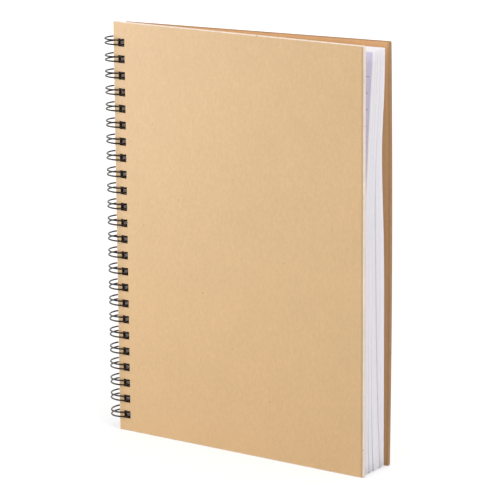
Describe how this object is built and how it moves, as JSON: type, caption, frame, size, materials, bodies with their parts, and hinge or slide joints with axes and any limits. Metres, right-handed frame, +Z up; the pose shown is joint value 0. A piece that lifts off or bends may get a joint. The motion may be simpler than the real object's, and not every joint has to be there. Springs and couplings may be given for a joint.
{
  "type": "twin-loop wire-bound notebook",
  "caption": "Upright notebook with kraft board covers and white pages on a black twin-loop wire binding, standing slightly open.",
  "frame": {"origin": "centre of the bounding box, on the surface that the covers stand on", "axes": "+Z up along the spine, +X from the wire to the fore-edge, front cover facing -Y"},
  "size_m": [0.1602, 0.0262, 0.214],
  "materials": {
    "front_board": "uncoated kraft board",
    "back_board": "uncoated kraft board",
    "pages": "uncoated white paper, ruled",
    "wire": "black nylon-coated steel wire, semi-gloss"
  },
  "bodies": {
    "binding": {"page_block": "pages", "twin_loop_wire": "wire"},
    "front_board": {"front_cover": "front_board"},
    "back_board": {"back_cover": "back_board"}
  },
  "joints": [
    {"name": "front_cover_hinge", "type": "hinge", "parent": "binding", "child": "front_board", "pos_m": [-0.07194, 0, 0.107], "axis": [0, 0, -1], "range_deg": [-0.65, 177.35]},
    {"name": "back_cover_hinge", "type": "hinge", "parent": "binding", "child": "back_board", "pos_m": [-0.07194, 0, 0.107], "axis": [0, 0, 1], "range_deg": [-0.8, 177.35]}
  ]
}
